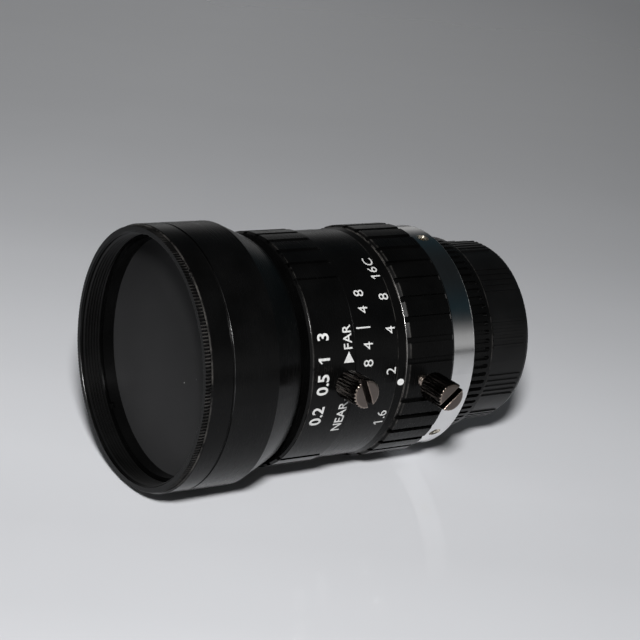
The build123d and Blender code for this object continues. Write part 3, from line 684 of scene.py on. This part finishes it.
def finish_screw(mesh, head, top):
    """Black nickel flanks, a worn face, and rubbed metal on the rounded edges and the stem."""
    mesh.materials.clear()
    for material in (BLACK_NICKEL, NICKEL, GLINT):
        mesh.materials.append(material)
    for face in mesh.polygons:
        flat = face.normal.z > 0.99
        if face.center.z > (top - WORN_TOP) * MM and face.normal.z > 0.2:
            face.material_index = 1 if flat else 2
        elif face.center.z < (head - RUBBED_STEM) * MM:
            face.material_index = 2
        face.use_smooth = face.normal.z < 0.99


def lock_screw(node, body, tip, top, station, angle, turn):
    """A fluted lock screw with a threaded stem, a rounded head and a deep slot."""
    piece = loft(node + "_turned", screw_rows(tip, top), NICKEL, caps=True, smooth_angle=50.0)
    cut_slot(piece, slot_cutter(top))
    finish_screw(piece.data, top - SCREW_HEAD, top)
    place = Matrix.Rotation(math.radians(turn), 4, "Z")
    place = Matrix.Rotation(math.radians(angle), 4, "Y") @ place
    piece.data.transform(Matrix.Translation((0, station * MM, 0)) @ place)
    piece.data.set_sharp_from_angle(angle=math.radians(38.0))
    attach(piece, body)
    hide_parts(node)


for screw in LOCK_SCREWS:
    lock_screw(*screw)


# Lettering, printed in white on the turned faces. Sizes and stations are in millimetres
INK_BELOW = 0.02 * MM
INK_ABOVE = 0.015 * MM
STRIP = 0.25 * MM        # width of the strips that a mark is bent in
NUMBER_SIZE = 2.5
DISTANCE_SIZE = 2.8
DISTANCE_BOLD = 0.06
WORD_SIZE = 2.2
WORD_BOLD = 0.02
APERTURE_Y = -22.0
DEPTH_Y = -26.4
INDEX_Y = -27.1
INDEX_ANGLE = 61.75
INDEX_HALF = (0.12, 1.3)
WORDS_Y = -30.4
ARROW_HALF = (0.85, 0.95)
DISTANCE_Y = -34.8
DOT_PLACE = (18.3, -20.02, 90.3)
DOT_R = 0.55
BAND_SLOPE = (IRIS_BAND_REAR_R - IRIS_BAND_FRONT_R) / (IRIS_BAND_REAR - IRIS_BAND_FRONT)

# The numbers on each scale with their angles around the axis, and the words and arrows
APERTURES = (("1.6", 110.2), ("2", 84.0), ("4", 63.9), ("8", 47.3), ("16", 33.9), ("C", 26.7))
DISTANCES = (("0.2", 103.5), ("0.5", 87.0), ("1", 75.0), ("3", 64.5))
DEPTHS = (("8", 79.0), ("4", 70.5), ("4", 53.0), ("8", 44.5))
NEAR_ANGLE = 105.6
FAR_ANGLE = 65.7
NEAR_ARROW_ANGLE = 93.8
FAR_ARROW_ANGLE = 74.9

# A flag for the ones, which the built-in letters lack, in shares of the letter size
FLAG = ((0.02, 0.0), (-0.15, -0.16), (-0.15, -0.27), (0.02, -0.13))


def white_ink():
    g = material_graph("white_ink")
    patch = g.noise(g.place()[0], 2600.0, 3.0)
    colour = g.mix(g.range(patch, 0.3, 0.7), (0.46, 0.46, 0.45, 1.0), (0.60, 0.60, 0.59, 1.0))
    rough = g.range(patch, 0.3, 0.7, 0.5, 0.65)
    return g.shader(colour, rough, normal=g.bump(patch, 0.2, 0.01 * MM))


INK = white_ink()


def flat_text(text, size, bold):
    """A thin mesh of a word, centred, standing from -INK_BELOW to INK_ABOVE."""
    curve = bpy.data.curves.new("word", "FONT")
    curve.body = text
    curve.size = size * MM
    curve.offset = bold * MM
    curve.align_x = "CENTER"
    curve.align_y = "CENTER"
    curve.extrude = (INK_BELOW + INK_ABOVE) / 2
    curve.resolution_u = 4
    holder = bpy.data.objects.new("word", curve)
    bpy.context.scene.collection.objects.link(holder)
    bpy.context.view_layer.update()
    mesh = bpy.data.meshes.new_from_object(holder.evaluated_get(bpy.context.evaluated_depsgraph_get()))
    bpy.data.objects.remove(holder)
    mesh.transform(Matrix.Translation((0, 0, (INK_ABOVE - INK_BELOW) / 2)))
    return mesh


def flat_shape(points):
    """A thin mesh of a closed outline in metres, standing as the words do."""
    form = bmesh.new()
    low = [form.verts.new((px, py, -INK_BELOW)) for px, py in points]
    high = [form.verts.new((px, py, INK_ABOVE)) for px, py in points]
    form.faces.new(low[::-1])
    form.faces.new(high)
    for i in range(len(points)):
        j = (i + 1) % len(points)
        form.faces.new((low[i], low[j], high[j], high[i]))
    mesh = bpy.data.meshes.new("mark")
    form.to_mesh(mesh)
    form.free()
    return mesh


def flat_number(text, size, bold):
    """A word of digits, with a flag on a one that leads it."""
    mesh = flat_text(text, size, bold)
    if not text.startswith("1"):
        return mesh
    unit = size * MM
    left = min(v.co.x for v in mesh.vertices)
    top = max(v.co.y for v in mesh.vertices if v.co.x < left + 0.02 * unit)
    form = bmesh.new()
    form.from_mesh(mesh)
    form.from_mesh(flat_shape([(left + px * unit, top + py * unit) for px, py in FLAG]))
    form.to_mesh(mesh)
    form.free()
    return mesh


def wrap(mesh, name, radius, station, angle, body, slope=0.0):
    """Lays a flat mark on a turned face. Words read around the axis, with their tops to the front."""
    form = bmesh.new()
    form.from_mesh(mesh)
    bmesh.ops.remove_doubles(form, verts=form.verts, dist=1e-7)
    reach = max(abs(v.co.x) for v in form.verts)
    steps = int(reach / STRIP) + 1
    for i in range(-steps, steps + 1):
        everything = list(form.verts) + list(form.edges) + list(form.faces)
        bmesh.ops.bisect_plane(form, geom=everything, plane_co=(i * STRIP, 0, 0), plane_no=(1, 0, 0))
    bmesh.ops.triangulate(form, faces=form.faces)
    for v in form.verts:
        y = station * MM - v.co.y
        base = radius * MM + slope * (y - station * MM)
        turn = math.radians(angle) - v.co.x / base
        v.co = ((base + v.co.z) * math.sin(turn), y, (base + v.co.z) * math.cos(turn))
    bmesh.ops.recalc_face_normals(form, faces=form.faces)
    form.to_mesh(mesh)
    form.free()
    mesh.materials.clear()
    mesh.materials.append(INK)
    piece = bpy.data.objects.new(name, mesh)
    bpy.context.scene.collection.objects.link(piece)
    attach(piece, body)


def print_scale(name, marks, size, bold, radius, station, body):
    """A row of numbers around a ring, each given as (text, angle)."""
    for index, (text, angle) in enumerate(marks, 1):
        wrap(flat_number(text, size, bold), f"{name}_{index}", radius, station, angle, body)


def print_focus_ring():
    print_scale("distance_mark", DISTANCES, DISTANCE_SIZE, DISTANCE_BOLD, FOCUS_R, DISTANCE_Y, "focus")
    for text, name, angle in (("NEAR", "near_word", NEAR_ANGLE), ("FAR", "far_word", FAR_ANGLE)):
        wrap(flat_text(text, WORD_SIZE, WORD_BOLD), name, FOCUS_R, WORDS_Y, angle, "focus")
    along, across = (half * MM for half in ARROW_HALF)
    arrow = [(-along, -across), (along, 0.0), (-along, across)]
    turned_back = [(-px, py) for px, py in arrow][::-1]
    wrap(flat_shape(arrow), "far_arrow", FOCUS_R, WORDS_Y, FAR_ARROW_ANGLE, "focus")
    wrap(flat_shape(turned_back), "near_arrow", FOCUS_R, WORDS_Y, NEAR_ARROW_ANGLE, "focus")


def print_barrel():
    print_scale("depth_mark", DEPTHS, NUMBER_SIZE, 0.0, BARREL_R, DEPTH_Y, "barrel")
    wide, tall = (half * MM for half in INDEX_HALF)
    line = [(-wide, -tall), (wide, -tall), (wide, tall), (-wide, tall)]
    wrap(flat_shape(line), "index_line", BARREL_R, INDEX_Y, INDEX_ANGLE, "barrel")


def print_index_dot():
    corners = [i * math.pi / 16 for i in range(32)]
    dot = [(DOT_R * MM * math.cos(a), DOT_R * MM * math.sin(a)) for a in corners]
    wrap(flat_shape(dot), "index_dot", *DOT_PLACE, "iris", BAND_SLOPE)


print_scale("aperture_mark", APERTURES, NUMBER_SIZE, 0.0, BARREL_R, APERTURE_Y, "barrel")
print_focus_ring()
print_barrel()
print_index_dot()


# Floor, in metres. Its x runs to the camera's right and its y away from the camera
FLOOR_HALF = 2.5
FLOOR_NEAR = -0.05
FLOOR_FAR = 0.45
# The floor's greys along its depth are painted light and shade, paler and darker by turns
FLOOR_GREYS = (
    (-0.045, 0.61), (-0.020, 0.67), (0.003, 0.79), (0.030, 0.87), (0.060, 0.91), (0.100, 0.92), (0.130, 0.88),
    (0.161, 0.88), (0.198, 0.85), (0.242, 0.84), (0.294, 0.86), (0.420, 0.93),
)
FLOOR_COOL = (0.99, 1.0, 1.035)
FLOOR_FADE = 3.0         # how much of the floor's paleness is lost per metre to the right, far back: painted shade
FLOOR_FADE_HERE = 0.7    # the same beside the lens, where it is darker to the right and paler to the left: painted shade and light
FLOOR_LEAST = 0.6
FLOOR_MOST = 1.08
FLOOR_SHEEN = 0.26


def floor_colour(g, fx, fy, dusty):
    """The floor's colour along its depth, with painted light and shade in its greys, a slow painted fade to
    the right and a little dust.
    """
    span = FLOOR_FAR - FLOOR_NEAR
    stops = [
        ((depth - FLOOR_NEAR) / span, tuple(grey * channel for channel in FLOOR_COOL) + (1.0,))
        for depth, grey in FLOOR_GREYS
    ]
    fade = g.range(fy, FLOOR_NEAR, 0.42, 0.1 * FLOOR_FADE, FLOOR_FADE)
    beside = g.range(g.math("ABSOLUTE", g.math("ADD", fy, 0.002)), 0.0, 0.045, FLOOR_FADE_HERE, 0.0)
    kept = g.math("SUBTRACT", 1.0, g.math("MULTIPLY", g.math("ADD", fade, beside), fx))
    kept = g.math("MINIMUM", g.math("MAXIMUM", kept, FLOOR_LEAST), FLOOR_MOST)
    kept = g.math("MULTIPLY", kept, g.range(dusty, 0.3, 0.7, 0.985, 1.01))
    return g.scale(g.ramp(g.range(fy, FLOOR_NEAR, FLOOR_FAR), stops), kept)


def floor_paler(g, fx, fy):
    """Far back the floor is seen a little paler than it lights the object: a painted glow that only the
    camera sees.
    """
    start = g.math("MULTIPLY_ADD", fx, -0.29, 0.107)
    slope = g.math("MULTIPLY_ADD", fx, -0.49, 0.31)
    paler = g.math("MAXIMUM", g.math("MULTIPLY", slope, g.math("SUBTRACT", fy, start)), 0.0)
    paler = g.math("MULTIPLY", paler, g.range(fy, 0.14, 0.34, 1.0, 0.62))
    return g.math("MULTIPLY", paler, g.add("ShaderNodeLightPath").outputs["Is Camera Ray"])


def floor_material():
    g = material_graph("floor")
    where, fx, fy, _ = g.place()
    dusty = g.noise(where, 18.0, 4.0)
    polished = g.range(dusty, 0.3, 0.7, 0.035, 0.055)
    rough = g.math("ADD", polished, g.range(g.length(fx, fy), 0.12, 0.5, 0.0, 0.3))
    return g.shader(
        floor_colour(g, fx, fy, dusty), rough, ior=1.45, specular_ior_level=FLOOR_SHEEN,
        emission_color=(0.985, 0.995, 1.03, 1.0), emission_strength=floor_paler(g, fx, fy),
    )


def make_floor():
    form = bmesh.new()
    bmesh.ops.create_grid(form, x_segments=1, y_segments=1, size=FLOOR_HALF)
    mesh = bpy.data.meshes.new("floor")
    form.to_mesh(mesh)
    form.free()
    mesh.materials.append(floor_material())
    floor = bpy.data.objects.new("floor", mesh)
    bpy.context.scene.collection.objects.link(floor)
    ahead = Vector((-CAMERA_BACK[0], -CAMERA_BACK[1], 0)).normalized()
    up = Matrix.Rotation(FLOOR_TILT, 3, "X") @ Vector((0, 0, 1))
    ahead = (ahead - up * ahead.dot(up)).normalized()
    side = ahead.cross(up)
    floor.matrix_world = Matrix.Translation(FLOOR_POINT) @ Matrix((side, ahead, up)).transposed().to_4x4()


make_floor()


# Light: one small lamp beside the camera and above it
KEY_PLACE = (0.237, -0.202, 0.191)
KEY_TARGET = (0.0, -0.028, 0.0)
KEY_SIZE = 0.045
KEY_POWER = 1.66


def make_key_light():
    data = bpy.data.lights.new("key", "AREA")
    data.shape = "DISK"
    data.size = KEY_SIZE
    data.energy = KEY_POWER
    light = bpy.data.objects.new("key", data)
    light.location = KEY_PLACE
    towards = Vector(KEY_TARGET) - Vector(KEY_PLACE)
    light.rotation_euler = towards.to_track_quat("-Z", "Y").to_euler()
    bpy.context.scene.collection.objects.link(light)


make_key_light()


# The room: dark overhead, paler walls low down at the sides, dark behind. Stops are (height, colour)
WALLS = (
    (0.0, (0.12, 0.12, 0.12, 1.0)), (0.035, (0.30, 0.30, 0.30, 1.0)), (0.10, (0.40, 0.40, 0.40, 1.0)),
    (0.22, (0.34, 0.34, 0.34, 1.0)), (0.30, (0.20, 0.20, 0.20, 1.0)), (0.42, (0.058, 0.060, 0.061, 1.0)),
    (0.56, (0.021, 0.022, 0.023, 1.0)), (0.78, (0.012, 0.014, 0.015, 1.0)), (1.0, (0.010, 0.010, 0.011, 1.0)),
)
BEHIND = (
    (0.0, (0.12, 0.12, 0.12, 1.0)), (0.10, (0.05, 0.06, 0.06, 1.0)), (0.30, (0.010, 0.025, 0.032, 1.0)),
    (0.56, (0.012, 0.022, 0.027, 1.0)), (0.78, (0.012, 0.014, 0.015, 1.0)), (1.0, (0.010, 0.010, 0.011, 1.0)),
)
WALLS_START = 0.52       # how far aside or in front the walls begin and are full
WALLS_FULL = 0.74
WALLS_AHEAD = 0.45


def make_world():
    world = bpy.data.worlds.new("world")
    bpy.context.scene.world = world
    g = Graph(world, "ShaderNodeOutputWorld")
    _, aside, depth, height = g.place("Generated")
    ahead = g.math("MULTIPLY_ADD", depth, -1.0, WALLS_AHEAD)
    either = g.math("MAXIMUM", g.math("ABSOLUTE", aside), ahead)
    share = g.range(either, WALLS_START, WALLS_FULL, smooth=True)
    background = g.add("ShaderNodeBackground")
    g.link(g.mix(share, g.ramp(height, BEHIND), g.ramp(height, WALLS)), background.inputs["Color"])
    g.link(background.outputs[0], g.output.inputs["Surface"])


make_world()
